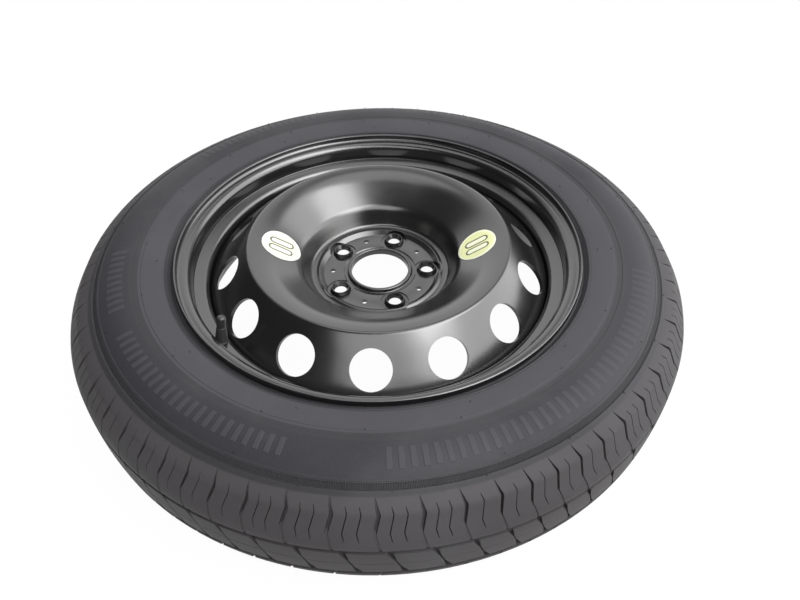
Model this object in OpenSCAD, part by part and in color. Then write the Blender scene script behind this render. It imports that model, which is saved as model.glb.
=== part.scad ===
// Space saver spare wheel: a narrow tyre on a pressed steel wheel, with its valve.
// +Z is the wheel's axis and points outboard. The origin is the centre of the hub
// mounting face. The wheel lies on its inboard sidewall.

/* [Tyre] */
// Outer diameter over the tread
tyre_od = 736; // [715:1:760]
// Section width, sidewall to sidewall
tyre_w = 152; // [146:1:160]
// Rubber thickness at the widest place of the sidewall
sidewall_t = 7.5; // [5:0.5:10]
// Rubber thickness under the middle of the tread
tread_t = 12.5; // [9:0.5:16]
// Depth of the tread grooves
groove_depth = 4.5; // [3:0.5:6]
// Width of the grooves that run round the tread
groove_w = 5; // [3:0.5:7]
// Distance of the grooves from the middle of the tread
groove_place = 15; // [12:0.5:18]
// Number of tread blocks round the tyre
block_count = 66; // [48:1:72]
// Depth of the cuts between the blocks at the shoulder
cut_depth = 4.4; // [3:0.2:5]
// Width of those cuts at their widest
cut_w = 3.2; // [2:0.2:4]
// Rubber left clear of the steel at the bead
bead_gap = 0.2; // [0.1:0.05:0.5]

/* [Rim] */
// Bead seat diameter
seat_d = 462; // [458:0.5:466]
// Width between the flanges
rim_w = 101.6; // [98:0.1:106]
// Height of the flange over the bead seat
flange_h = 14.1; // [13:0.1:16]
// Radius of the flange's rolled top
flange_top_r = 7.5; // [6:0.1:8]
// Radius of the corner between bead seat and flange
heel_r = 6; // [5:0.1:6.5]
// Steel thickness of the rim
rim_t = 3; // [2.4:0.1:3.2]
// Width of one bead seat, from the flange to its hump
seat_w = 16; // [14:0.5:18]
// Radius of the drop centre
well_r = 213.7; // [211:0.1:216]
// Distance from the wheel's middle plane to the valve wall
valve_wall_z = 27.4; // [26:0.1:28.5]
// Slope of the valve wall against a plane across the axis
valve_wall_angle = 12; // [8:1:16]

/* [Disc] */
// Offset of the mounting face outboard of the middle plane
wheel_offset = 4; // [0:0.5:8]
// Steel thickness of the disc
disc_t = 4.5; // [4:0.1:5]
// Centre bore diameter
bore_d = 72.6; // [68:0.1:75]
// Height of the collar round the bore over the hub pad
collar_h = 3.5; // [2:0.5:5]
// Wall of the collar round the bore
collar_t = 5; // [4:0.5:6]
// Bolt circle diameter
bolt_pcd = 120; // [116:0.1:124]
// Number of wheel bolts
bolt_count = 5; // [4:1:6]
// Bolt hole diameter
bolt_hole_d = 15; // [13:0.5:16]
// Diameter across the top of a bolt seat
boss_top_d = 21.6; // [20:0.2:24]
// Height of a bolt seat over the hub pad
boss_h = 4.6; // [3.6:0.2:5.4]
// Turn of the first bolt hole from +X
bolt_turn = -1.5; // [-36:0.5:36]
// Diameter of the small holes between the bolts
pin_hole_d = 7; // [5:0.5:9]
// Radius of the ridge round the hub pad
ridge_r = 76.5; // [75:0.5:78]
// Height of the ridge over the hub pad
ridge_h = 4.7; // [4:0.1:6]
// Radius of the foot of the bowl
bowl_r = 87; // [85:0.5:89]
// Radius where the face turns down into the bowl
bowl_lip_r = 99; // [97:0.5:103]
// Height of that turn over the mounting face
bowl_lip_z = 30.3; // [28:0.5:33]
// Radius of the crease round the face
crease_r = 159; // [157:0.5:162]
// Height of the crease over the mounting face
crease_z = 59.8; // [57:0.2:62]
// Number of vent holes
vent_count = 14; // [8:1:15]
// Vent hole diameter
vent_d = 45.5; // [36:0.5:46.5]
// Radius of the ring of vent holes
vent_ring_r = 187.6; // [186:0.2:189]
// Height of the ring of vent holes over the mounting face
vent_ring_z = 34.2; // [32:0.2:36]
// Turn of the first vent hole from +X
vent_turn = -145.3; // [-180:0.1:180]
// Length of the disc's skirt inside the rim
skirt_l = 20; // [16:1:24]
// Play between the skirt and the rim
skirt_gap = 0.1; // [0.05:0.05:0.2]
// Number of weld runs that hold the disc
weld_count = 8; // [4:1:12]

/* [Valve] */
// Turn of the valve from +X
valve_turn = -143; // [-180:0.5:180]
// Diameter of the valve hole in the rim
valve_hole_d = 11.3; // [11:0.1:11.7]
// Height of the rubber over the rim
valve_rubber_h = 21; // [18:0.5:24]
// Diameter of the brass stem over its thread
stem_d = 7.7; // [7.5:0.1:8]
// Height of the stem over the rubber
stem_h = 10; // [9:0.5:11]
// Bore of the stem
stem_bore_d = 5; // [4.8:0.1:5.2]
// Length of the cap
cap_l = 13.5; // [13:0.5:15]
// Diameter of the cap
cap_d = 10; // [9.8:0.1:11]
// Play between the stem and the cap
cap_play = 0.15; // [0.05:0.05:0.25]
// Diameter of the valve pin
pin_d = 1.2; // [1:0.1:1.4]
// Stroke of the valve pin
pin_stroke = 1.2; // [0.8:0.1:1.6]

/* [Stickers] */
// Width of a sticker round the wheel
sticker_w = 47; // [40:1:60]
// Length of a sticker towards the hub, seen along the axis
sticker_l = 44; // [36:1:46]
// Thickness of a sticker
sticker_t = 0.25; // [0.2:0.05:0.5]
// Radius of the stickers' centres
sticker_ring_r = 121; // [118:0.5:125]
// Turn of the left sticker from +X
sticker_left_turn = 178; // [170:0.5:190]
// Turn of the right sticker from +X
sticker_right_turn = -2; // [-10:0.5:10]

/* [Hidden] */

$fn = 96;

// Outlines: a path is a list of [x, y, radius] corners, rounded where radius is over 0
function unit(v) = v / norm(v);
function arc(c, r, a0, a1) =
    let (step = r > 20 ? 5 : r > 5 ? 10 : 24, n = max(2, ceil(abs(a1 - a0) / step)))
    [for (i = [0:n]) c + r * [cos(a0 + (a1 - a0) * i / n), sin(a0 + (a1 - a0) * i / n)]];
function corner(p, c, n, r) =
    let (a = unit(p - c), b = unit(n - c), half = acos(a * b) / 2,
         m = c + unit(a + b) * r / sin(half),
         s = c + a * r / tan(half) - m, e = c + b * r / tan(half) - m,
         a0 = atan2(s.y, s.x), turn = (atan2(e.y, e.x) - a0 + 540) % 360 - 180)
    arc(m, r, a0, a0 + turn);
function xy(v) = [v.x, v.y];
function path(v) = [for (i = [0:len(v) - 1])
    each (i == 0 || i == len(v) - 1 || v[i][2] == 0)
        ? [xy(v[i])] : corner(xy(v[i - 1]), xy(v[i]), xy(v[i + 1]), v[i][2])];
function left_of(v) = [-v.y, v.x];
function step_at(v, i) = unit(v[i + 1] - v[i]);
function shifted(v, t) = let (last = len(v) - 1) [for (i = [0:last])
    let (a = left_of(step_at(v, max(i, 1) - 1)), b = left_of(step_at(v, min(i, last - 1))),
         m = unit(a + b))
    v[i] + m * t / (m * a)];
function reversed(v) = [for (i = [len(v) - 1:-1:0]) v[i]];
function mirrored(v) = [for (p = reversed(v)) [p.x, -p.y]];
function cubic(p0, p1, p2, p3, t) = 0.5 * (2 * p1 + (p2 - p0) * t
    + (2 * p0 - 5 * p1 + 4 * p2 - p3) * t * t + (3 * p1 - p0 - 3 * p2 + p3) * t * t * t);
function curve(v, n) = let (last = len(v) - 1) concat(
    [for (i = [0:last - 1]) for (k = [0:n - 1])
        cubic(v[max(i - 1, 0)], v[i], v[i + 1], v[min(i + 2, last)], k / n)],
    [v[last]]);

module ring(angle = 360) rotate_extrude(angle = angle, $fn = 180) children();
module around(count, turn = 0) for (i = [0:count - 1]) rotate(turn + 360 * i / count) children();

// Rim: its outer face as [radius, height over the wheel's middle plane]
seat_r = seat_d / 2;
seat_slope = 5;
lip_turn = 25;
hump_h = 0.9;
fold_r = 3.6;
well_fillet = 5;
inboard_wall_angle = 46;
half_w = rim_w / 2;
seat_end = half_w - seat_w;
wall_r = (seat_r + well_r) / 2;
flange_c = [seat_r + flange_h - flange_top_r, half_w + flange_top_r];
function seat_at(z) = seat_r - (half_w - z) * tan(seat_slope);
heel_c = [seat_at(half_w - heel_r) + heel_r / cos(seat_slope), half_w - heel_r];
function wall_line(top_z, angle) =
    [[seat_at(seat_end), top_z, fold_r],
     [well_r, top_z - (seat_at(seat_end) - well_r) * tan(angle), well_fillet],
     [well_r, 0, 0]];
function half_rim(top_z, angle) = concat(
    arc(flange_c, flange_top_r, lip_turn, -90),
    arc(heel_c, heel_r, 90, 180 - seat_slope),
    path(concat([[seat_at(seat_end + 3), seat_end + 3, 0],
                 [seat_at(seat_end + 1.5), seat_end + 1.5, 6],
                 [seat_at(seat_end) + hump_h, seat_end - 1, 4]],
                wall_line(top_z, angle))));
valve_wall_top = valve_wall_z + (seat_at(seat_end) - wall_r) * tan(valve_wall_angle);
rim_face = concat(half_rim(valve_wall_top, valve_wall_angle),
                  mirrored([for (p = half_rim(valve_wall_top, inboard_wall_angle)) if (p.y > 0) p]));

// Tyre: its outer face from bead toe to crown, as [radius, height over the middle plane]
section_h = tyre_od / 2 - seat_r;
side_z = tyre_w / 2;
lip_r = seat_r + flange_h;
toe_z = seat_end + 2.5;
shoulder_r = tyre_od / 2 - 8;
shoulder_z = 46;
bead_face = concat(
    [[seat_at(toe_z) + bead_gap, toe_z]],
    arc(heel_c, heel_r - bead_gap, 180 - seat_slope, 90),
    arc(flange_c, flange_top_r + bead_gap, -90, -45));
side_edge = curve([
    [lip_r + 1.6, half_w + 3.4],
    [lip_r + 5, half_w + 7.6],
    [lip_r + 7.2, side_z - 15.4],
    [lip_r + 9.4, side_z - 14.8],
    [lip_r + 17, side_z - 11.6],
    [seat_r + 0.34 * section_h, side_z - 7.6],
    [seat_r + 0.51 * section_h, side_z - 0.5],
    [seat_r + 0.58 * section_h, side_z - 0.8],
    [seat_r + 0.66 * section_h, side_z - 5.6],
    [seat_r + 0.715 * section_h, side_z - 11.6],
    [seat_r + 0.75 * section_h, side_z - 14.4]], 3);
// Bands round the sidewall as [inner radius, outer radius, rise]
side_bands = [
    [lip_r + 6.1, lip_r + 7.7, 0.7],
    [seat_r + 0.368 * section_h, seat_r + 0.433 * section_h, -0.5],
    [seat_r + 0.677 * section_h, seat_r + 0.69 * section_h, 0.4],
    [seat_r + 0.699 * section_h, seat_r + 0.742 * section_h, -0.3]];
band_edge = 0.4;
function banded(v, bands) = concat(
    [for (p = v) if (p.x < bands[0][0] - band_edge) p],
    [for (i = [0:len(bands) - 1])
        let (b = bands[i], end = i + 1 < len(bands) ? bands[i + 1][0] : v[len(v) - 1].x + 1)
        each concat(
            [for (e = [[b[0], 0], [b[0] + band_edge, b[2]], [b[1] - band_edge, b[2]], [b[1], 0]])
                [e[0], lookup(e[0], v) + e[1]]],
            [for (p = v) if (p.x > b[1] + band_edge && p.x < end - band_edge) p])]);
side_face = banded(side_edge, side_bands);
ridge_w = 1.4;
ridge_face = [
    [seat_r + 0.755 * section_h, side_z - 13.2],
    [seat_r + 0.755 * section_h + ridge_w, side_z - 13.6],
    [seat_r + 0.765 * section_h + ridge_w, side_z - 15.4]];
shoulder_face = curve([
    [seat_r + 0.78 * section_h, side_z - 16.2],
    [shoulder_r - 13, shoulder_z + 10],
    [shoulder_r - 6.5, shoulder_z + 6.4],
    [shoulder_r, shoulder_z],
    [shoulder_r + 4.3, shoulder_z - 8],
    [shoulder_r + 6.6, shoulder_z - 21]], 2);
crown_drop = tyre_od / 2 - shoulder_r - 6.6;
function crown_at(z) = tyre_od / 2 - crown_drop * pow(z / (shoulder_z - 21), 2);
groove_face = [for (p = [[0, 1], [1, 0.7], [1, -0.7], [0, -1]])
    [crown_at(groove_place) - p.x * groove_depth, groove_place + p.y * groove_w / 2]];
half_tyre = concat(bead_face, side_face, ridge_face, shoulder_face, groove_face, [[tyre_od / 2, 0]]);
liner = curve([
    [seat_at(toe_z) + bead_gap, toe_z],
    [seat_r + 9, seat_end + 3],
    [lip_r + 9, half_w - 5],
    [seat_r + 0.32 * section_h, side_z - sidewall_t - 9],
    [seat_r + 0.53 * section_h, side_z - sidewall_t],
    [seat_r + 0.66 * section_h, side_z - sidewall_t - 7],
    [tyre_od / 2 - tread_t - 14, shoulder_z + 2],
    [tyre_od / 2 - tread_t - 3.5, shoulder_z - 13],
    [tyre_od / 2 - tread_t, 0]], 4);
function inner(v) = [for (i = [1:len(v) - 1]) v[i]];
function outer(v) = [for (i = [0:len(v) - 2]) v[i]];
tyre_outline = concat(half_tyre, mirrored(outer(half_tyre)),
                      [for (p = inner(liner)) [p.x, -p.y]], inner(reversed(inner(liner))));

// Tread cuts, drawn flat against the tread: x is height over the middle plane, y runs round
// the tyre and z is depth under the tread. The pitch of the blocks sways round the tyre.
pitch_sway = 1.9;
function block_turn(i) = let (a = 360 * i / block_count) a + pitch_sway * sin(6 * a + 210);
module at_block(i)
    rotate(block_turn(i)) translate([tyre_od / 2, 0, 0]) rotate([0, -90, 0]) children();
cut_line = [
    [groove_place, 6.7, 0.25 * cut_w],
    [shoulder_z - 4.7, 0.8, 0.45 * cut_w],
    [shoulder_z + 7.3, 4.7, 0.5 * cut_w],
    [shoulder_z + 15, 0, 0.2 * cut_w]];
cut_floor = [
    [groove_place - 1, cut_depth - 0.9],
    [shoulder_z - 2, cut_depth + 6.1],
    [shoulder_z + 11, cut_depth + 21.6],
    [shoulder_z + 17, cut_depth + 30.6]];
module shoulder_cut() intersection() {
    translate([0, 0, -1]) linear_extrude(50) polygon(concat(
        [for (p = cut_line) [p[0], p[1] - p[2]]],
        [for (p = reversed(cut_line)) [p[0], p[1] + p[2]]]));
    rotate([90, 0, 0]) linear_extrude(30, center = true)
        polygon(concat(cut_floor, [[shoulder_z + 17, -5], [groove_place - 1, -5]]));
}
rib_cut_lean = 5.5;
module rib_cut() translate([0, 0, -1]) linear_extrude(groove_depth + 0.5) polygon([
    [-groove_place, rib_cut_lean - 1.1], [groove_place, -rib_cut_lean - 1.1],
    [groove_place, 1.1 - rib_cut_lean], [-groove_place, rib_cut_lean + 1.1]]);
module tread_cuts() for (i = [0:block_count - 1]) {
    at_block(i) shoulder_cut();
    at_block(i + 0.5) {
        mirror([1, 0, 0]) shoulder_cut();
        rib_cut();
    }
}

module tyre() color([0.22, 0.22, 0.24]) translate([0, 0, -wheel_offset]) difference() {
    ring() polygon(tyre_outline);
    tread_cuts();
}

lip_c = flange_c + (flange_top_r - rim_t / 2) * [cos(lip_turn), sin(lip_turn)];
valve_r = wall_r - 1.3;
valve_seat = [valve_r - rim_t * sin(valve_wall_angle),
              valve_wall_z + (valve_r - wall_r) * tan(valve_wall_angle)
              + rim_t * cos(valve_wall_angle) - wheel_offset];
module at_valve() rotate(valve_turn) translate([valve_seat.x, 0, valve_seat.y])
    rotate([0, -valve_wall_angle, 0]) children();

module rim() color([0.08, 0.08, 0.085]) difference() {
    translate([0, 0, -wheel_offset]) {
        ring() polygon(concat(rim_face, reversed(shifted(rim_face, -rim_t))));
        for (side = [0, 1]) mirror([0, 0, side])
            ring() translate(lip_c) circle(d = rim_t, $fn = 24);
    }
    at_valve() {
        translate([0, 0, -2 * rim_t]) cylinder(d = valve_hole_d, h = 4 * rim_t);
        translate([0, 0, -coin]) cylinder(r = skirt_out_r + 0.2, h = 9);
        translate([0, 0, coin - rim_t - 10]) cylinder(r = bulb_r + 0.2, h = 10);
    }
}

// Disc: its outboard face as [radius, height over the mounting face]
bore_r = bore_d / 2;
bolt_r = bolt_pcd / 2;
pad_z = disc_t;
skirt_r = well_r - rim_t - skirt_gap;
cone_slope = (crease_z - vent_ring_z) / (vent_ring_r - crease_r);
cone_angle = atan(cone_slope);
skirt_top = vent_ring_z - (skirt_r - vent_ring_r) * cone_slope;
face_slope = tan(6);
bowl_slope = tan(33);
face_turn_r = (crease_z - bowl_lip_z - crease_r * face_slope + bowl_lip_r * bowl_slope)
    / (bowl_slope - face_slope);
face_turn_z = bowl_lip_z + (face_turn_r - bowl_lip_r) * bowl_slope;
valley_z = pad_z + 2.8;
bowl_fillet = 6;
bowl_angle = atan((bowl_lip_z - valley_z) / (bowl_lip_r - bowl_r));
valley_r = bowl_r - bowl_fillet * tan(bowl_angle / 2) - 0.2;
pad_out_r = ridge_r - 6;
pad_in_r = bore_r + collar_t + 5.2;
face_corners = [
    [skirt_r, skirt_top, 12],
    [crease_r, crease_z, 5.5],
    [face_turn_r, face_turn_z, 58],
    [bowl_lip_r, bowl_lip_z, 22],
    [bowl_r, valley_z, bowl_fillet]];
sheet_face = path(concat([[skirt_r, skirt_top - skirt_l, 0]], face_corners, [[valley_r, valley_z, 0]]));
hub_face = path([
    [valley_r, valley_z, 0],
    [ridge_r + 4, valley_z, 3],
    [ridge_r, pad_z + ridge_h, 1.6],
    [pad_out_r, pad_z, 3],
    [pad_in_r, pad_z, 1],
    [pad_in_r - 1.6, pad_z - 1, 1],
    [bore_r + collar_t, pad_z - 1, 1],
    [bore_r + collar_t - 0.8, pad_z + collar_h, 1.5],
    [bore_r, pad_z + collar_h, 1.5],
    [bore_r, 0, 0]]);
disc_outline = concat(sheet_face, inner(hub_face), [[valley_r - 5.5, 0]],
                      reversed(shifted(sheet_face, disc_t)));
seat_cone = 30;
pocket_floor = pad_z - 1.2;
boss_z = pad_z + boss_h;
boss_r = boss_top_d / 2;

pocket_r = boss_r + 6.4;
module bolt_pocket() translate([0, 0, pocket_floor]) cylinder(r = pocket_r, h = 2 * ridge_h);
module bolt_lobe() intersection() {
    cylinder(r = pocket_r + 3.2, h = pad_z + ridge_h - 0.6);
    translate([-bolt_r, 0, 0]) ring() translate([ridge_r - 1, 1]) square([9, 2 * ridge_h]);
}
seat_depth = (boss_r - 0.5 - bolt_hole_d / 2) / tan(seat_cone);
module bolt_boss() cylinder(r1 = boss_r + 3.6, r2 = boss_r, h = boss_z);
module bolt_cut() {
    translate([0, 0, -1]) cylinder(d = bolt_hole_d, h = boss_z + 2);
    translate([0, 0, boss_z - seat_depth])
        cylinder(r1 = bolt_hole_d / 2, r2 = boss_r - 0.5, h = seat_depth);
    translate([0, 0, -1]) cylinder(r1 = boss_r + 1.6, r2 = boss_r - 1.4, h = 3.6);
}
module at_bolts(between = 0) around(bolt_count, bolt_turn + between * 180 / bolt_count)
    translate([bolt_r, 0, 0]) children();

module disc() color([0.09, 0.09, 0.09]) {
    difference() {
        union() {
            difference() {
                union() {
                    ring() polygon(disc_outline);
                    at_bolts() bolt_lobe();
                }
                at_bolts() bolt_pocket();
            }
            at_bolts() bolt_boss();
        }
        at_bolts() bolt_cut();
        at_bolts(1) translate([0, 0, -1]) cylinder(d = pin_hole_d, h = pad_z + 2);
        around(vent_count, vent_turn) translate([vent_ring_r, 0, vent_ring_z])
            rotate([0, cone_angle, 0]) translate([0, 0, -2 * disc_t])
            cylinder(d = vent_d, h = 3 * disc_t);
    }
    around(weld_count) ring(24) translate([skirt_r - disc_t / 2, skirt_top - skirt_l])
        circle(d = disc_t - 0.6, $fn = 24);
}

// Valve: heights are over the rim's air side, along the valve's own axis
fit_gap = 0.02;
seat_gap = 0.05;
hole_r = valve_hole_d / 2;
coin = 0.15;
rubber_r = 6.9;
skirt_out_r = rubber_r + 0.5;
bulb_r = hole_r + 2.3;
skirt_z = seat_gap - coin;
bulb_z = coin - rim_t - seat_gap;
stem_r = stem_d / 2;
root_r = 4.3;
root_z = 4;
passage_r = 1.8;
stem_bore_r = stem_bore_d / 2;
stem_top = valve_rubber_h + stem_h;
core_top = stem_top - 0.7;
plug_l = 4.6;
barrel_l = 7.6;
barrel_z = core_top - plug_l - barrel_l;
barrel_r = stem_bore_r - 0.5;
barrel_wall = 0.6;
gasket_l = 2;
gasket_z = core_top - plug_l - 2.4;
cup_h = 1;
seal_h = 0.9;
cup_r = barrel_r - 0.35;
pin_r = pin_d / 2;
pin_play = 0.1;
collar_r = barrel_r - barrel_wall - 0.15;
collar_z = core_top - plug_l - 0.8;
shelf_h = 0.7;
wire_d = 0.28;
spring_turns = 6;
pin_bottom = barrel_z - seal_h - cup_h;

module valve_rubber() color([0.05, 0.05, 0.05]) at_valve() rotate_extrude() polygon(concat(
    path([[root_r + fit_gap, valve_rubber_h, 0],
          [rubber_r - 1.9, valve_rubber_h, 0.8],
          [rubber_r - 1.3, valve_rubber_h - 5, 8],
          [rubber_r, 2.2, 0.6],
          [skirt_out_r, 1.8, 0.4],
          [skirt_out_r, skirt_z, 0]]),
    [[hole_r - seat_gap, skirt_z],
     [hole_r - seat_gap, bulb_z]],
    path([[bulb_r - 0.4, bulb_z, 0],
          [bulb_r, -rim_t - 1.4, 0.6],
          [bulb_r - 0.9, -rim_t - 5, 2],
          [rubber_r - 1.6, -rim_t - 9, 0]]),
    [[passage_r, -rim_t - 9],
     [passage_r, root_z],
     [root_r + fit_gap, root_z]]));

module valve_stem() color([0.72, 0.58, 0.28]) at_valve() rotate_extrude() polygon([
    [passage_r, root_z + fit_gap], [root_r - 0.6, root_z + fit_gap], [root_r, root_z + 1],
    [root_r, root_z + 4], [root_r - 0.5, root_z + 4.6], [root_r - 0.5, root_z + 7.4],
    [root_r, root_z + 8], [root_r, valve_rubber_h], [stem_r, valve_rubber_h],
    [stem_r, stem_top - 0.6], [stem_r - 0.6, stem_top], [stem_bore_r + 0.25, stem_top],
    [stem_bore_r, stem_top - 0.4], [stem_bore_r, gasket_z - gasket_l],
    [barrel_r + 0.15, gasket_z - gasket_l - 0.4], [barrel_r + 0.15, pin_bottom - pin_stroke - 1],
    [passage_r, pin_bottom - pin_stroke - 1.4]]);

module valve_core_plug() color([0.75, 0.62, 0.32]) at_valve() {
    translate([0, 0, core_top - plug_l]) difference() {
        cylinder(r = stem_bore_r - fit_gap, h = plug_l);
        translate([0, 0, -1]) cylinder(r = barrel_r - barrel_wall, h = plug_l + 2);
    }
    translate([0, 0, core_top - 2.2]) difference() {
        cube([2 * barrel_r, 1.7, 2.2], center = true);
        cylinder(r = pin_r + pin_play, h = 4, center = true);
    }
}
module valve_core_barrel() color([0.75, 0.62, 0.32]) at_valve() rotate_extrude() polygon([
    [barrel_r, core_top - plug_l - fit_gap], [barrel_r - barrel_wall, core_top - plug_l - fit_gap],
    [barrel_r - barrel_wall, barrel_z + shelf_h + 0.5], [pin_r + 2 * pin_play, barrel_z + shelf_h + 0.5],
    [pin_r + 2 * pin_play, barrel_z + 0.5], [cup_r - 0.5, barrel_z], [cup_r, barrel_z],
    [barrel_r, barrel_z + 1.2]]);
module valve_core_gasket() color([0.85, 0.85, 0.8]) at_valve() rotate_extrude() polygon([
    [barrel_r + fit_gap, gasket_z], [stem_bore_r - fit_gap, gasket_z],
    [stem_bore_r - fit_gap, gasket_z - gasket_l + 0.2], [barrel_r + fit_gap, gasket_z - gasket_l]]);
module valve_pin() color([0.8, 0.8, 0.78]) at_valve() {
    translate([0, 0, pin_bottom]) cylinder(r = pin_r, h = core_top + 0.5 - pin_bottom);
    translate([0, 0, collar_z - 0.4]) cylinder(r = collar_r, h = 0.4);
}
module valve_pin_cup() color([0.75, 0.62, 0.32]) at_valve() translate([0, 0, pin_bottom]) difference() {
    cylinder(r = cup_r, h = cup_h);
    translate([0, 0, -1]) cylinder(r = pin_r + fit_gap, h = cup_h + 2);
}
module valve_pin_seal() color([0.1, 0.1, 0.1]) at_valve() translate([0, 0, barrel_z - seal_h]) difference() {
    translate([0, 0, fit_gap]) cylinder(r = cup_r - 0.1, h = seal_h - 2 * fit_gap);
    translate([0, 0, -1]) cylinder(r = pin_r + fit_gap, h = seal_h + 2);
}

// Valve spring: a coil from the barrel's shelf to the pin's collar
spring_r = (pin_r + barrel_r - barrel_wall) / 2;
spring_foot = barrel_z + shelf_h + 0.5 + wire_d / 2;
spring_head = collar_z - 0.4 - wire_d / 2;
spring_steps = 14;
wire_sides = 6;
function coil_point(i) = let (t = i / (spring_turns * spring_steps))
    [spring_r * cos(360 * i / spring_steps), spring_r * sin(360 * i / spring_steps),
     spring_foot + (spring_head - spring_foot) * t];
module valve_spring() color([0.7, 0.7, 0.7]) at_valve() polyhedron(
    points = [for (i = [0:spring_turns * spring_steps]) for (k = [0:wire_sides - 1])
        let (c = coil_point(i), a = 360 * i / spring_steps, b = 360 * k / wire_sides)
        c + wire_d / 2 * [cos(b) * cos(a), cos(b) * sin(a), sin(b)]],
    faces = concat(
        [[for (k = [0:wire_sides - 1]) k]],
        [for (i = [0:spring_turns * spring_steps - 1]) for (k = [0:wire_sides - 1])
            let (a = i * wire_sides, n = (k + 1) % wire_sides)
            [a + k, a + wire_sides + k, a + wire_sides + n, a + n]],
        [[for (k = [wire_sides - 1:-1:0]) spring_turns * spring_steps * wire_sides + k]]));

cap_foot = valve_rubber_h + 0.4;
cap_r = cap_d / 2;
cap_roof = stem_top + 1.2;
grip_count = 14;
module valve_cap() color([0.06, 0.06, 0.06]) at_valve() difference() {
    rotate_extrude() polygon(concat(
        [[0, cap_roof], [stem_r + cap_play, cap_roof], [stem_r + cap_play, cap_foot + 0.4],
         [stem_r + cap_play + 0.3, cap_foot]],
        path([[cap_r - 0.2, cap_foot, 0], [cap_r, cap_foot + 2, 3],
              [cap_r - 0.4, cap_foot + cap_l, 2.6], [0, cap_foot + cap_l, 0]])));
    around(grip_count) translate([cap_r + 0.35, 0, cap_foot + 2.5])
        cylinder(r = 0.7, h = cap_l - 6, $fn = 24);
}
module valve_cap_seal() color([0.12, 0.12, 0.12]) at_valve()
    translate([0, 0, stem_top + fit_gap]) difference() {
        cylinder(r = stem_r, h = cap_roof - stem_top - 2 * fit_gap);
        translate([0, 0, -1]) cylinder(r = pin_r + 0.6, h = 4);
    }

// Stickers: thin ovals that follow the face
face_band = [for (p = sheet_face) if (p.x > bowl_lip_r - 8 && p.x < crease_r && p.y > valley_z + 10) p];
module sticker(turn) color([0.95, 0.95, 0.62]) intersection() {
    ring() polygon(concat(shifted(face_band, -fit_gap), reversed(shifted(face_band, -fit_gap - sticker_t))));
    rotate(turn) translate([sticker_ring_r, 0, 0])
        scale([sticker_l / 100, sticker_w / 100, 1]) cylinder(r = 50, h = 2 * crease_z);
}

tyre();
rim();
disc();
valve_rubber();
valve_stem();
valve_core_plug();
valve_core_barrel();
valve_core_gasket();
valve_pin();
valve_pin_cup();
valve_pin_seal();
valve_spring();
valve_cap();
valve_cap_seal();
sticker(sticker_left_turn);  // sticker_left
sticker(sticker_right_turn);  // sticker_right
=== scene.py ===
import math
import random

import bmesh
import bpy
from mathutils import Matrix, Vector


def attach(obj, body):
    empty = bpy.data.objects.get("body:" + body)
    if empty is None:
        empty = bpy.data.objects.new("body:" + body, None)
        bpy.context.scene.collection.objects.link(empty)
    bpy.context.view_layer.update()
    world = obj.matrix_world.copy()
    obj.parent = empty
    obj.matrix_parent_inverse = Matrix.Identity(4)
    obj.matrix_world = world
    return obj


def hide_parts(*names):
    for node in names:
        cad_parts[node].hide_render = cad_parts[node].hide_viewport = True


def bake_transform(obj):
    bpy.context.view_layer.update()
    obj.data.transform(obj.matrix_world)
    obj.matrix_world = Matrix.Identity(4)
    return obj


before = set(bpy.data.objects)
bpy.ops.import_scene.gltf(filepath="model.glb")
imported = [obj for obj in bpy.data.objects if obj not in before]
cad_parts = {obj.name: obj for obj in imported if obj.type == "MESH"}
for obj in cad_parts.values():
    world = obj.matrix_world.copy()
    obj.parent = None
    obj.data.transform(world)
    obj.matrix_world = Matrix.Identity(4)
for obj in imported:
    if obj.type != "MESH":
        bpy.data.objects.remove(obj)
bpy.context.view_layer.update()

random.seed(7)
mm = 0.001
scene = bpy.context.scene


# Small helpers

def link(piece):
    scene.collection.objects.link(piece)
    return piece


def meshPiece(name, bm, material):
    mesh = bpy.data.meshes.new(name)
    bm.to_mesh(mesh)
    bm.free()
    mesh.materials.append(material)
    return link(bpy.data.objects.new(name, mesh))


def newPiece(name, bm, material, body="wheel", replaced=(), sharp=32):
    for face in bm.faces:
        face.smooth = True
    for edge in bm.edges:
        edge.smooth = edge.calc_face_angle(0.0) < math.radians(sharp)
    piece = meshPiece(name, bm, material)
    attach(piece, body)
    if replaced:
        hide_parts(*replaced)
    return piece


def copyOfNode(node):
    # the CAD node's own mesh, with its doubles merged
    bm = bmesh.new()
    bm.from_mesh(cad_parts[node].data)
    bmesh.ops.remove_doubles(bm, verts=bm.verts, dist=2e-6)
    return bm


def smoothCopy(node, name, material, sharp=24):
    # a copy whose bands shade smoothly
    bm = copyOfNode(node)
    bmesh.ops.dissolve_degenerate(bm, edges=bm.edges, dist=1e-6)
    piece = newPiece(name, bm, material, replaced=(node,), sharp=sharp)
    custom = piece.data.attributes.get("custom_normal")
    if custom:
        piece.data.attributes.remove(custom)


def blendBetween(value, points):
    # straight lines through (value, result) points
    if value <= points[0][0]:
        return points[0][1]
    for (x0, y0), (x1, y1) in zip(points, points[1:]):
        if value <= x1:
            return y0 + (y1 - y0) * (value - x0) / (x1 - x0)
    return points[-1][1]


def throughPoints(points, steps):
    # a smooth curve through the points, as in the part's own outline
    out = []
    last = len(points) - 1
    for i in range(last):
        corners = (points[max(i - 1, 0)], points[i], points[i + 1], points[min(i + 2, last)])
        for k in range(steps):
            t = k / steps
            out.append(tuple(0.5 * (2 * b + (c - a) * t + (2 * a - 5 * b + 4 * c - d) * t * t
                                    + (3 * b - a - 3 * c + d) * t ** 3)
                             for a, b, c, d in zip(*corners)))
    out.append(points[-1])
    return out


# Materials

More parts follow.
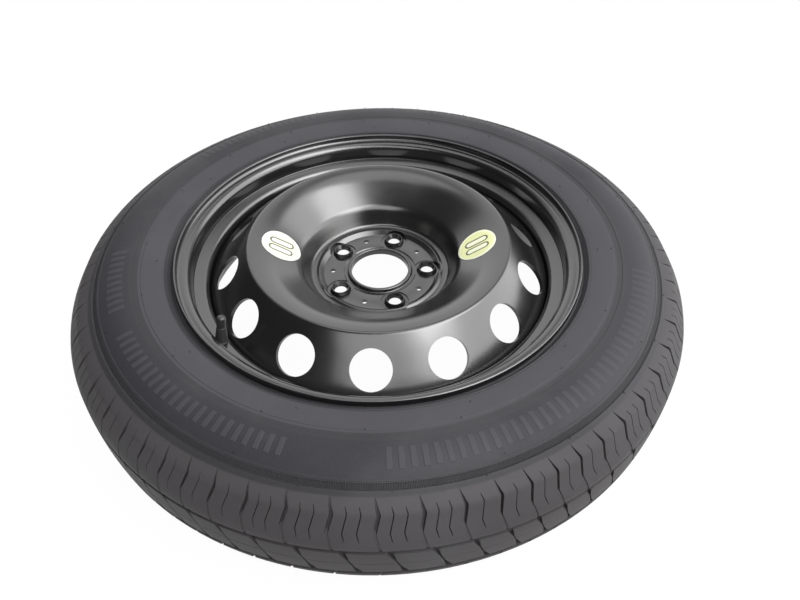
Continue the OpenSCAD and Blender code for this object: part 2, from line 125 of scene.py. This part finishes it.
class Nodes:
    # short ways to add and join the nodes of a material or of the world
    def __init__(self, owner):
        owner.use_nodes = True
        self.tree = owner.node_tree

    def add(self, kind, **values):
        node = self.tree.nodes.new(kind)
        for key, value in values.items():
            setattr(node, key, value)
        return node

    def join(self, source, target):
        self.tree.links.new(source, target)

    def put(self, socket, value):
        if isinstance(value, (int, float, tuple)):
            socket.default_value = value
        else:
            self.join(value, socket)

    def math(self, operation, a, b=0.0):
        node = self.add("ShaderNodeMath", operation=operation)
        self.put(node.inputs[0], a)
        self.put(node.inputs[1], b)
        return node.outputs[0]

    def fade(self, value, start, end, before=0.0, after=1.0):
        # eases from before to after while the value goes from start to end
        node = self.add("ShaderNodeMapRange", interpolation_type="SMOOTHSTEP")
        self.join(value, node.inputs[0])
        for index, number in enumerate((start, end, before, after), 1):
            node.inputs[index].default_value = number
        return node.outputs[0]

    def between(self, value, low, high, soft):
        # 1 between low and high, easing to 0 over soft on both sides
        up = self.fade(value, low - soft, low + soft)
        down = self.fade(value, high - soft, high + soft, 1.0, 0.0)
        return self.math("MULTIPLY", up, down)

    def towards(self, way, direction):
        # how far a way points in the direction
        node = self.add("ShaderNodeVectorMath", operation="DOT_PRODUCT")
        self.join(way, node.inputs[0])
        node.inputs[1].default_value = direction
        return node.outputs["Value"]

    def mixShader(self, factor, first, second):
        node = self.add("ShaderNodeMixShader")
        for source, socket in zip((factor, first.outputs[0], second.outputs[0]), node.inputs):
            self.join(source, socket)
        return node


class MaterialNodes(Nodes):
    def __init__(self, name):
        self.material = bpy.data.materials.new(name)
        super().__init__(self.material)
        self.shader = self.tree.nodes["Principled BSDF"]
        self.coords = self.add("ShaderNodeTexCoord").outputs["Object"]

    def noise(self, scale, detail=3.0, roughness=0.5):
        node = self.add("ShaderNodeTexNoise")
        node.inputs["Scale"].default_value = scale
        node.inputs["Detail"].default_value = detail
        node.inputs["Roughness"].default_value = roughness
        self.join(self.coords, node.inputs["Vector"])
        return node.outputs["Fac"]

    def mix(self, factor, a, b):
        node = self.add("ShaderNodeMix", data_type="RGBA", blend_type="MIX")
        self.put(node.inputs[0], factor)
        self.put(node.inputs[6], (*a, 1.0) if isinstance(a, tuple) else a)
        self.put(node.inputs[7], (*b, 1.0) if isinstance(b, tuple) else b)
        return node.outputs[2]

    def split(self):
        node = self.add("ShaderNodeSeparateXYZ")
        self.join(self.coords, node.inputs[0])
        return node.outputs

    def radius(self):
        x, y, z = self.split()
        return self.math("SQRT", self.math("ADD", self.math("MULTIPLY", x, x), self.math("MULTIPLY", y, y)))

    def bump(self, height, distance, strength, under=None):
        node = self.add("ShaderNodeBump")
        node.inputs["Strength"].default_value = strength
        node.inputs["Distance"].default_value = distance
        self.join(height, node.inputs["Height"])
        if under is not None:
            self.join(under, node.inputs["Normal"])
        return node.outputs["Normal"]

    def finish(self, colour, roughness, normal=None, **values):
        self.put(self.shader.inputs["Base Color"], (*colour, 1.0) if isinstance(colour, tuple) else colour)
        self.put(self.shader.inputs["Roughness"], roughness)
        if normal is not None:
            self.join(normal, self.shader.inputs["Normal"])
        for key, value in values.items():
            self.shader.inputs[key.replace("_", " ")].default_value = value
        return self.material


def paintMaterial(name, tone, gloss):
    n = MaterialNodes(name)
    dark = (tone * 0.8, tone * 0.8, tone * 0.8)
    light = (tone * 1.2, tone * 1.2, tone * 1.25)
    colour = n.mix(n.noise(9.0, 4.0), dark, light)
    roughness = n.math("ADD", n.math("MULTIPLY", n.noise(30.0), 0.08), gloss - 0.04)
    peel = n.bump(n.noise(420.0, 2.0), 0.00004, 0.35)
    return n.finish(colour, roughness, peel, Specular_IOR_Level=0.8)


def plainMaterial(name, colour, roughness, **values):
    n = MaterialNodes(name)
    dark = tuple(c * 0.85 for c in colour)
    light = tuple(min(c * 1.12, 1.0) for c in colour)
    grain = n.bump(n.noise(300.0), 0.00005, 0.5)
    return n.finish(n.mix(n.noise(60.0, 4.0), dark, light), roughness, grain, **values)


# lengths in the looks are metres, as the Object coordinates are
rubberLook = {
    "dark": (0.022, 0.021, 0.024),
    "light": (0.030, 0.029, 0.033),
    "zones": [
        # inner and outer radius, soft edge, share and colour: beside the rim, the band, the tread
        (0.2545, 0.2815, 0.0006, 0.9, (0.050, 0.048, 0.054)),
        (0.2905, 0.3235, 0.0006, 0.8, (0.021, 0.0205, 0.025)),
        (0.3372, 0.4, 0.0008, 0.8, (0.050, 0.046, 0.048)),
    ],
    "specks": (0.25, (0.075, 0.074, 0.075)),       # share and colour
    "wornPatches": (0.25, (0.075, 0.074, 0.078)),
    "serration": (0.3268, 0.3326, 0.0003),         # inner and outer radius, soft edge
    "teeth": 1440.0,
    # share and colour of the painted shade on the dark half of each serration tooth, standing in for the
    # shadow between the teeth
    "paintedToothShade": (0.75, (0.012, 0.012, 0.013)),
    "panels": [
        # middle and half width in degrees, and the two radii, of each ribbed panel
        (-52.0, 38.0, 0.297, 0.317),
        (-128.0, 22.0, 0.297, 0.314),
        (-166.0, 10.0, 0.297, 0.314),
        (125.0, 18.0, 0.298, 0.314),
        (62.0, 20.0, 0.303, 0.313),
    ],
    "panelRibs": 180.0,
    "panelRibTone": (0.45, (0.060, 0.058, 0.064)),
    "roughness": 0.5,
    "specular": 0.12,
}


def ribbedPanels(n, radius, angle, z):
    # 1 on the ribs of the panels on the outboard sidewall, 0 beside them
    ribs = n.between(n.math("SINE", n.math("MULTIPLY", angle, rubberLook["panelRibs"])), 0.1, 3.0, 0.25)
    raised = 0.0
    for middle, half, low, high in rubberLook["panels"]:
        away = n.math("ABSOLUTE", n.math("SUBTRACT", angle, math.radians(middle)))
        across = n.between(radius, low, high, 0.0004)
        along = n.between(away, -1.0, math.radians(half), 0.001)
        panel = n.math("MULTIPLY", across, along)
        raised = n.math("ADD", raised, n.math("MULTIPLY", panel, ribs))
    return n.math("MULTIPLY", raised, n.math("GREATER_THAN", z, 0.0))


def rubberMaterial():
    n = MaterialNodes("tyreRubber")
    radius = n.radius()
    x, y, z = n.split()
    angle = n.math("ARCTAN2", y, x)
    cloud = n.noise(14.0, 5.0, 0.6)
    specks = n.noise(420.0, 4.0, 0.6)
    worn = n.between(n.noise(5.0, 5.0, 0.65), 0.52, 2.0, 0.10)
    teeth = n.math("SINE", n.math("MULTIPLY", angle, rubberLook["teeth"]))
    teeth = n.math("MULTIPLY", n.between(radius, *rubberLook["serration"]), teeth)
    panels = ribbedPanels(n, radius, angle, z)
    colour = n.mix(cloud, rubberLook["dark"], rubberLook["light"])
    for low, high, soft, share, tone in rubberLook["zones"]:
        colour = n.mix(n.math("MULTIPLY", n.between(radius, low, high, soft), share), colour, tone)
    # specks and worn patches are the rubber's own tone; the serration teeth get painted shade on their dark
    # half
    for factor, key in ((specks, "specks"), (worn, "wornPatches"), (panels, "panelRibTone"),
                        (n.math("MAXIMUM", teeth, 0.0), "paintedToothShade")):
        share, tone = rubberLook[key]
        colour = n.mix(n.math("MULTIPLY", factor, share), colour, tone)
    grain = n.bump(specks, 0.00012, 0.5)
    normal = n.bump(n.math("ADD", teeth, panels), 0.0004, 0.8, grain)
    roughness = n.math("ADD", n.math("MULTIPLY", cloud, 0.12), rubberLook["roughness"])
    return n.finish(colour, roughness, normal, Specular_IOR_Level=rubberLook["specular"])


stickerLook = {
    "ring": 0.121,             # how far its middle is from the wheel's axis
    "centre": -0.0042,
    "length": 0.044,
    "width": 0.047,
    "barLength": 0.0165,
    "barPlace": 0.0063,
    "barRadius": 0.0043,
    "stroke": 0.0019,
    "paper": (0.66, 0.68, 0.36),
    "edge": (0.74, 0.75, 0.56),
    "ink": (0.08, 0.08, 0.04),
}
leftStickerLook = {
    **stickerLook,
    "centre": 0.0042,
    "paper": (0.70, 0.71, 0.58),
    "edge": (0.74, 0.74, 0.67),
    "ink": (0.12, 0.12, 0.08),
}


def stickerMaterial(name, look):
    # a plain oval label: a paler edge, and two outlined rounded bars that run outwards
    n = MaterialNodes(name)
    x, y, z = n.split()
    out = n.math("SUBTRACT", n.radius(), look["ring"])
    along = n.math("SUBTRACT", y, look["centre"])
    size = n.math("ADD", n.math("POWER", n.math("DIVIDE", out, look["length"] / 2), 2.0),
                  n.math("POWER", n.math("DIVIDE", along, look["width"] / 2), 2.0))
    beyond = n.math("MAXIMUM", n.math("SUBTRACT", n.math("ABSOLUTE", out), look["barLength"] / 2), 0.0)
    beside = n.math("SUBTRACT", n.math("ABSOLUTE", along), look["barPlace"])
    squares = n.math("ADD", n.math("MULTIPLY", beyond, beyond), n.math("MULTIPLY", beside, beside))
    reach = n.math("SQRT", squares)
    inside = n.math("LESS_THAN", reach, look["barRadius"])
    halfStroke = look["stroke"] / 2
    stroke = n.between(reach, look["barRadius"] - halfStroke, look["barRadius"] + halfStroke, 0.0002)
    colour = n.mix(n.between(size, 0.80, 2.0, 0.03), look["paper"], look["edge"])
    colour = n.mix(inside, colour, look["edge"])
    colour = n.mix(stroke, colour, look["ink"])
    return n.finish(colour, 0.38, n.bump(n.noise(300.0), 0.00004, 0.4), Specular_IOR_Level=0.3)


paint = paintMaterial("blackPaint", 0.008, 0.22)
rubber = rubberMaterial()
valveRubber = plainMaterial("valveRubber", (0.018, 0.018, 0.018), 0.55, Specular_IOR_Level=0.4)
capPlastic = plainMaterial("capPlastic", (0.016, 0.016, 0.017), 0.42)
brass = plainMaterial("brass", (0.62, 0.46, 0.18), 0.32, Metallic=1.0)
steelWire = plainMaterial("steelWire", (0.5, 0.5, 0.5), 0.3, Metallic=1.0)
gasketPlastic = plainMaterial("gasketPlastic", (0.75, 0.75, 0.7), 0.5)
sealRubber = plainMaterial("sealRubber", (0.03, 0.03, 0.03), 0.6)
stickerRight = stickerMaterial("stickerRight", stickerLook)
stickerLeft = stickerMaterial("stickerLeft", leftStickerLook)
print("materials made")


# Tyre, in mm: radii from the wheel's axis and heights from the tyre's middle plane

tyreShape = {
    "middle": -10.5,           # height of the middle plane, where 0 is the hub's face
    "crown": 368.0,            # outside radius at the middle plane
    "crownHalf": 28.0,         # half the crown's width
    "crownDrop": 1.3,          # how much less the radius is at the crown's edges
    "straightHalf": 25.0,      # up to this height the cuts go straight in
    "grooveDepth": 4.5,
    "pitches": 66,
    "swing": 1.9,              # degrees by which the pitches sway
    "swingWaves": 6,
    "swingPhase": 210.0,
    "insideColumns": 220,
    # how much nearer the inboard side is to the middle than the outboard one, by radius
    "inboardLift": [(246.7, 12.85), (262.0, 8.6), (280.0, 4.4), (297.0, 2.3), (337.0, 1.4), (352.0, 0.0)],
}
sideCurve = throughPoints([
    (246.7, 60.55), (250.1, 64.75), (252.3, 67.1), (254.5, 67.7), (262.1, 70.3), (278.27, 73.5),
    (296.76, 75.8), (307.72, 74.9), (318.0, 71.9), (326.9, 66.9), (331.97, 63.9)], 6)
ridgeCurve = [(332.65, 64.6), (334.05, 64.0), (335.56, 62.5)]
shoulderCurve = throughPoints([
    (336.5, 62.0), (343.0, 59.5), (350.0, 55.5), (354.6, 49.0), (359.8, 41.5), (364.2, 34.5),
    (366.7, 28.0)], 6)
sideRadii = [246.7, 248.2, 250.2, 251.2, 251.5, 252.4, 252.8, 254.5, 258, 262, 267, 272, 276, 278.0,
             278.5, 283, 286.7, 287.2, 291, 296, 301, 306, 311, 316, 321, 324.1, 324.4, 325.7, 326.0,
             327.1, 327.5, 331.2, 331.6]
# thin rings and recesses on the sidewall: how far they stand out, by radius
sideDetail = [(251.2, 0.0), (251.5, 0.7), (252.4, 0.7), (252.8, 0.0), (278.0, 0.0), (278.5, -0.5),
              (286.7, -0.5), (287.2, 0.0), (324.1, 0.0), (324.4, 0.4), (325.7, 0.4), (326.0, 0.0),
              (327.1, 0.0), (327.5, -0.3), (331.2, -0.3), (331.6, 0.0)]
# heights of the rows on the shoulder, the crown beside it, the round groove and the middle rib
shoulderHeights = [61.6, 60.9, 60.0, 58.8, 57.4, 55.9, 54.2, 52.2, 50, 47.5, 45, 43, 41.5, 40, 38, 36,
                   34, 31, 28]
crownHeights = [26.0, 24.4, 23.75]
grooveHeights = [23.3, 18.7]
ribHeights = [18.25, 17.6, 15.0, 11.0, 7.5, 4.0, 0.7, 0.4]
ribSeam = -1.0                 # the narrow groove round the middle of the rib
insideCurve = [
    # the bead under the rim's flange, and the lining of the tyre
    (246.7, 60.55), (244.4, 60.8), (243.05, 59.2), (241.1, 57.79), (238.8, 57.04), (236.5, 56.95),
    (234.6, 56.64), (232.9, 55.73), (231.65, 54.3), (230.88, 52.6), (230.02, 43.65), (236.98, 43.49),
    (240.0, 44.15), (254.1, 52.15), (274.84, 64.5), (285.7, 67.7), (296.76, 68.5), (307.7, 66.4),
    (318.68, 61.5), (330.3, 53.0), (340.5, 43.5), (346.8, 36.66), (351.0, 28.5), (353.9, 13.3), (355.5, 0.0)]
# Widths, depths and leans go by height. Widths and places are shares of a pitch, the rest is in mm
treadCuts = {
    "columns": 10,             # columns of mesh in one pitch, as many as each plan has
    "evenStart": 0.005,        # where the evenly spaced ones of the sidewall start
    "wall": 0.012,             # how much of a pitch the steep side of a cut takes
    "ribStart": [0.0, 0.13, 0.26],
    "ribEnd": [0.70, 0.80, 0.9],
    "slotMiddle": 0.5,
    "slotWidth": [(4.0, 0.025), (9.0, 0.03), (12.0, 0.10), (18.3, 0.13)],
    "slotDepth": [(3.0, 2.5), (10.0, 3.5), (13.0, 4.2)],
    "slotLean": (2.0, -0.37),
    "cutMiddle": 0.05,
    "cutWidth": [(23.75, 0.075), (40.0, 0.075), (43.0, 0.09), (55.5, 0.10), (59.0, 0.07), (61.6, 0.035)],
    "cutDepth": [(23.75, 1.0), (39.5, 1.0), (43.0, 4.4), (56.0, 4.4), (59.0, 2.2), (61.0, 0.8), (61.8, 0.0)],
    "cutLean": [(18.3, 8.5), (21.0, 6.7), (41.5, 0.8), (55.5, 4.7), (61.6, 1.3), (65.5, 0.0)],
    "sipeDepth": [(34.0, 0.0), (36.5, 3.0), (56.5, 3.0), (58.0, 0.0)],
    "longBlock": [0.36, 0.373, 0.386, 0.665, 0.678, 0.691],
    "shortBlock": [0.50, 0.514, 0.528, 0.68, 0.79, 0.9],
    "grooveLean": 7.0,
    "fadeIn": [(321.0, 0.0), (334.0, 1.0)],    # how far the columns follow the cuts, by radius
}


def pitchAngle(u):
    turn = 360.0 * u / tyreShape["pitches"]
    sway = math.sin(math.radians(tyreShape["swingWaves"] * turn + tyreShape["swingPhase"]))
    return turn + tyreShape["swing"] * sway


def crownRadius(h):
    return tyreShape["crown"] - tyreShape["crownDrop"] * (h / tyreShape["crownHalf"]) ** 2


def placed(r, h, angle):
    lift = blendBetween(r, tyreShape["inboardLift"])
    z = h + tyreShape["middle"] + (lift if h < 0 else 0.0)
    return Vector((r * math.cos(angle), r * math.sin(angle), z)) * mm


def mirrored(half, flip):
    # the rows of both halves, from the outboard bead to the inboard one
    return half + [flip(row) for row in reversed(half[:-1])]


def outlineRows():
    # (radius, height, how far it stands out, kind) from the outboard bead to the middle of the tread
    rows = [(r, blendBetween(r, sideCurve), blendBetween(r, sideDetail), "side") for r in sideRadii]
    rows += [(r, h, 0.0, "side") for r, h in ridgeCurve]
    shoulderByHeight = [(-h, r) for r, h in shoulderCurve]
    rows += [(blendBetween(-h, shoulderByHeight), h, 0.0, "shoulder") for h in shoulderHeights]
    rows += [(crownRadius(h), h, 0.0, "shoulder") for h in crownHeights]
    rows += [(crownRadius(h), h, -tyreShape["grooveDepth"], "groove") for h in grooveHeights]
    rows += [(crownRadius(h), h, 0.0, "rib") for h in ribHeights]
    rows.append((tyreShape["crown"], 0.0, ribSeam, "rib"))
    return rows


def outwards(rows, j):
    # the way out of the rubber at a row: straight out on the tread, else square to the outline
    r, h, detail, kind = rows[j]
    if kind in ("groove", "rib") or abs(h) < tyreShape["straightHalf"]:
        return 1.0, 0.0
    before, after = rows[max(j - 1, 0)], rows[min(j + 1, len(rows) - 1)]
    dr, dh = after[0] - before[0], after[1] - before[1]
    size = math.hypot(dr, dh)
    return -dh / size, dr / size


def ribColumns(h):
    # a slanting slot in each rib block, wide at the groove and narrow towards the middle
    half = blendBetween(abs(h), treadCuts["slotWidth"]) / 2
    cut = blendBetween(abs(h), treadCuts["slotDepth"])
    middle, wall = treadCuts["slotMiddle"], treadCuts["wall"]
    slot = [middle - half - wall, middle - half, middle + half, middle + half + wall]
    return treadCuts["ribStart"] + slot + treadCuts["ribEnd"], [0, 0, 0, 0, cut, cut, 0, 0, 0, 0]


def shoulderColumns(h, kind, long):
    # a wide cut, then two zigzag cuts in a long block and one in a short block.
    # The sidewall and the round groove have the same columns, uncut
    half = blendBetween(h, treadCuts["cutWidth"]) / 2
    depth = blendBetween(h, treadCuts["cutDepth"]) if kind == "shoulder" else 0.0
    sipe = blendBetween(h, treadCuts["sipeDepth"]) if kind == "shoulder" else 0.0
    middle, wall = treadCuts["cutMiddle"], treadCuts["wall"]
    wide = [middle - half, middle - half + wall, middle + half - wall, middle + half]
    if long:
        return wide + treadCuts["longBlock"], [0, depth, depth, 0, 0, sipe, 0, 0, sipe, 0]
    return wide + treadCuts["shortBlock"], [0, depth, depth, 0, 0, sipe, 0, 0, 0, 0]


def columnLean(r, h, kind):
    # how far the cuts are turned round the tyre at this height, in mm
    if kind == "rib":
        start, slope = treadCuts["slotLean"]
        return start + slope * h
    if kind == "groove":
        return treadCuts["grooveLean"]
    lean = blendBetween(abs(h), treadCuts["cutLean"])
    return lean * blendBetween(r, treadCuts["fadeIn"]) if kind == "side" else lean


def tyreRow(rows, j):
    # the radius, height and angle of every column of one row
    r, h, detail, kind = rows[j]
    outR, outH = outwards(rows, j)
    lean = columnLean(r, h, kind)
    follow = blendBetween(r, treadCuts["fadeIn"])
    places = []
    for i in range(tyreShape["pitches"]):
        start = i + (0.0 if h >= 0 else 0.5)
        long = pitchAngle(start + 1) - pitchAngle(start) > 360.0 / tyreShape["pitches"]
        plan, cuts = ribColumns(h) if kind == "rib" else shoulderColumns(abs(h), kind, long)
        for k, (share, cut) in enumerate(zip(plan, cuts)):
            if kind == "side":
                even = k / treadCuts["columns"] + treadCuts["evenStart"]
                share = even + (share - even) * follow
            angle = math.radians(pitchAngle(i + share)) + lean / r
            places.append((r + outR * (detail - cut), h + outH * (detail - cut), angle))
    return places


def wrappedGrid(columns, rowCount, placeOf):
    # a grid that goes once round the wheel, with its seam closed
    bm = bmesh.new()
    bmesh.ops.create_grid(bm, x_segments=columns, y_segments=rowCount - 1, size=1.0)
    for vert in bm.verts:
        i = round((vert.co.x + 1.0) / 2.0 * columns)
        j = round((vert.co.y + 1.0) / 2.0 * (rowCount - 1))
        vert.co = placed(*placeOf(i % columns, j))
    bmesh.ops.remove_doubles(bm, verts=bm.verts, dist=1e-6)
    return bm


def makeTyre():
    rows = mirrored(outlineRows(), lambda row: (row[0], -row[1], row[2], row[3]))
    places = [tyreRow(rows, j) for j in range(len(rows))]
    columns = tyreShape["pitches"] * treadCuts["columns"]
    return wrappedGrid(columns, len(rows), lambda i, j: places[j][i])


def makeTyreInside():
    rows = mirrored(insideCurve, lambda row: (row[0], -row[1]))
    columns = tyreShape["insideColumns"]
    bm = wrappedGrid(columns, len(rows), lambda i, j: (*rows[j], 2 * math.pi * i / columns))
    bmesh.ops.reverse_faces(bm, faces=bm.faces)
    return bm


tyre = newPiece("tyreOutside", makeTyre(), rubber, replaced=("tyre",), sharp=28)
newPiece("tyreInside", makeTyreInside(), rubber, replaced=("tyre",), sharp=50)

hairShape = {
    # radius, count and length of the hairs in each ring
    "rings": [(277.4, 17, 3.0), (333.4, 26, 2.6), (322.0, 9, 2.2), (262.0, 11, 2.6)],
    "footRadius": 0.55,
    "tipRadius": 0.35,
    "spacingError": 0.12,      # as a share of the spacing
    "lean": 0.7,
    "standsOut": 0.35,         # how far the middle is above the rubber, as a share of the length
}


def makeVentHairs():
    # the short rubber hairs that the mould's vents leave on the sidewall and the shoulder
    bm = bmesh.new()
    outline = sideCurve + ridgeCurve
    error, lean = hairShape["spacingError"], hairShape["lean"]
    for r, count, tall in hairShape["rings"]:
        h = blendBetween(r, outline)
        for i in range(count):
            # adding r lets each ring start at another angle
            angle = 2 * math.pi * (i + random.uniform(-error, error)) / count + r
            made = bmesh.ops.create_cone(
                bm, cap_ends=True, segments=6, radius1=hairShape["footRadius"] * mm,
                radius2=hairShape["tipRadius"] * mm, depth=tall * mm)["verts"]
            way = Vector((random.uniform(-lean, lean), random.uniform(-lean, lean), 1.0))
            turn = way.to_track_quat("Z", "Y").to_matrix().to_4x4()
            bmesh.ops.transform(bm, matrix=turn, verts=made)
            bmesh.ops.translate(bm, verts=made, vec=placed(r, h + tall * hairShape["standsOut"], angle))
    return bm


newPiece("ventHairs", makeVentHairs(), rubber)
print("tyre made", len(tyre.data.polygons))


# Wheel

smoothCopy("rim", "steelRim", paint)
smoothCopy("disc", "steelDisc", paint)
print("wheel made")


# Valve and stickers

valveAndStickerFinish = {
    "valve_rubber": valveRubber,
    "valve_stem": brass,
    "valve_core_plug": brass,
    "valve_core_barrel": brass,
    "valve_core_gasket": gasketPlastic,
    "valve_pin": steelWire,
    "valve_pin_cup": brass,
    "valve_pin_seal": sealRubber,
    "valve_cap": capPlastic,
    "valve_cap_seal": sealRubber,
    "sticker_left": stickerLeft,
    "sticker_right": stickerRight,
}
for node, material in valveAndStickerFinish.items():
    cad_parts[node].data.materials.clear()
    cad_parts[node].data.materials.append(material)


def makeSpring():
    # the CAD node's own coil, as a piece of its own with its placement baked into the mesh
    bm = copyOfNode("valve_spring")
    piece = meshPiece("coreSpring", bm, steelWire)
    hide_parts("valve_spring")
    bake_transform(piece)


makeSpring()
print("valve made")


# Floor, light and camera

studio = {
    "floorHeight": -84.12 * mm,
    "floorSize": 6.0,
    "floorColour": (0.9, 0.9, 0.9),
    "floorWhite": 0.97,                    # how white the camera and gloss see it
    "fillColour": (0.93, 0.95, 1.0, 1.0),
    "fillStrength": 0.12,
    # what only gloss shows: the white behind the wheel, and a white card low on the right.
    # Each has its direction, where it fades in from and to, and the strength before and after
    "whiteBehind": ((0.75, 0.66, 0.1), (-0.35, 0.55, 0.05, 0.8)),
    "card": ((0.853, -0.15, 0.5), (0.62, 0.80, 0.0, 4.2)),
    "lamps": [
        # name, compass turn from the back, height angle, distance, width, height, brightness
        ("keyLight", 116.0, 62.0, 2.3, 1.8, 1.4, 5.4),
        ("frontLight", 165.0, 52.0, 2.3, 3.0, 1.2, 3.8),
        ("backLight", -6.0, 28.0, 2.6, 3.6, 1.9, 1.3),
        ("topLight", 10.0, 76.0, 2.4, 1.6, 1.4, 2.1),
    ],
    "cameraPlace": (0.0, -0.58568, 0.53327),
    "cameraTurn": (45.0807, -0.0031, -2.5168),
    "cameraLens": 27.612,
}
white = (1.0, 1.0, 1.0, 1.0)


def makeFloor():
    n = MaterialNodes("floorPaper")
    n.finish(studio["floorColour"], 0.9, Specular_IOR_Level=0.0)
    glow = n.add("ShaderNodeEmission")
    glow.inputs["Color"].default_value = white
    glow.inputs["Strength"].default_value = 1.0
    rays = n.add("ShaderNodeLightPath").outputs
    shown = n.math("MAXIMUM", rays["Is Glossy Ray"], rays["Is Transmission Ray"])
    seen = n.math("MULTIPLY", n.math("MAXIMUM", rays["Is Camera Ray"], shown), studio["floorWhite"])
    both = n.mixShader(seen, n.shader, glow)
    n.join(both.outputs[0], n.tree.nodes["Material Output"].inputs["Surface"])
    bm = bmesh.new()
    bmesh.ops.create_grid(bm, x_segments=1, y_segments=1, size=studio["floorSize"])
    bmesh.ops.translate(bm, verts=bm.verts, vec=(0, 0, studio["floorHeight"]))
    floor = meshPiece("floor", bm, n.material)


def makeWorld():
    world = bpy.data.worlds.new("studio")
    scene.world = world
    n = Nodes(world)
    fill = n.tree.nodes["Background"]
    fill.inputs["Color"].default_value = studio["fillColour"]
    fill.inputs["Strength"].default_value = studio["fillStrength"]
    seen, mirror = n.add("ShaderNodeBackground"), n.add("ShaderNodeBackground")
    for background in (seen, mirror):
        background.inputs["Color"].default_value = white
    way = n.add("ShaderNodeTexCoord").outputs["Generated"]
    behind, card = [n.fade(n.towards(way, direction), *steps)
                    for direction, steps in (studio["whiteBehind"], studio["card"])]
    n.join(n.math("ADD", behind, card), mirror.inputs["Strength"])
    rays = n.add("ShaderNodeLightPath").outputs
    shown = n.math("MAXIMUM", rays["Is Glossy Ray"], rays["Is Transmission Ray"])
    both = n.mixShader(rays["Is Camera Ray"], n.mixShader(shown, fill, mirror), seen)
    n.join(both.outputs[0], n.tree.nodes["World Output"].inputs["Surface"])


def makeLamp(name, turn, rise, away, width, height, brightness):
    turn, rise = math.radians(turn), math.radians(rise)
    place = Vector((math.sin(turn) * math.cos(rise), math.cos(turn) * math.cos(rise), math.sin(rise))) * away
    data = bpy.data.lights.new(name, "AREA")
    data.shape = "RECTANGLE"
    data.size, data.size_y = width, height
    data.energy = math.pi * width * height * brightness
    lamp = link(bpy.data.objects.new(name, data))
    lamp.location = place
    lamp.rotation_euler = (-place).to_track_quat("-Z", "Y").to_euler()


def makeCamera():
    data = bpy.data.cameras.new("camera")
    data.lens = studio["cameraLens"]
    data.sensor_width = 36.0
    data.clip_start = 0.01
    camera = link(bpy.data.objects.new("camera", data))
    camera.location = studio["cameraPlace"]
    camera.rotation_euler = [math.radians(a) for a in studio["cameraTurn"]]
    scene.camera = camera


makeFloor()
makeWorld()
for lamp in studio["lamps"]:
    makeLamp(*lamp)
makeCamera()
scene.view_settings.view_transform = "Standard"
print("studio made")
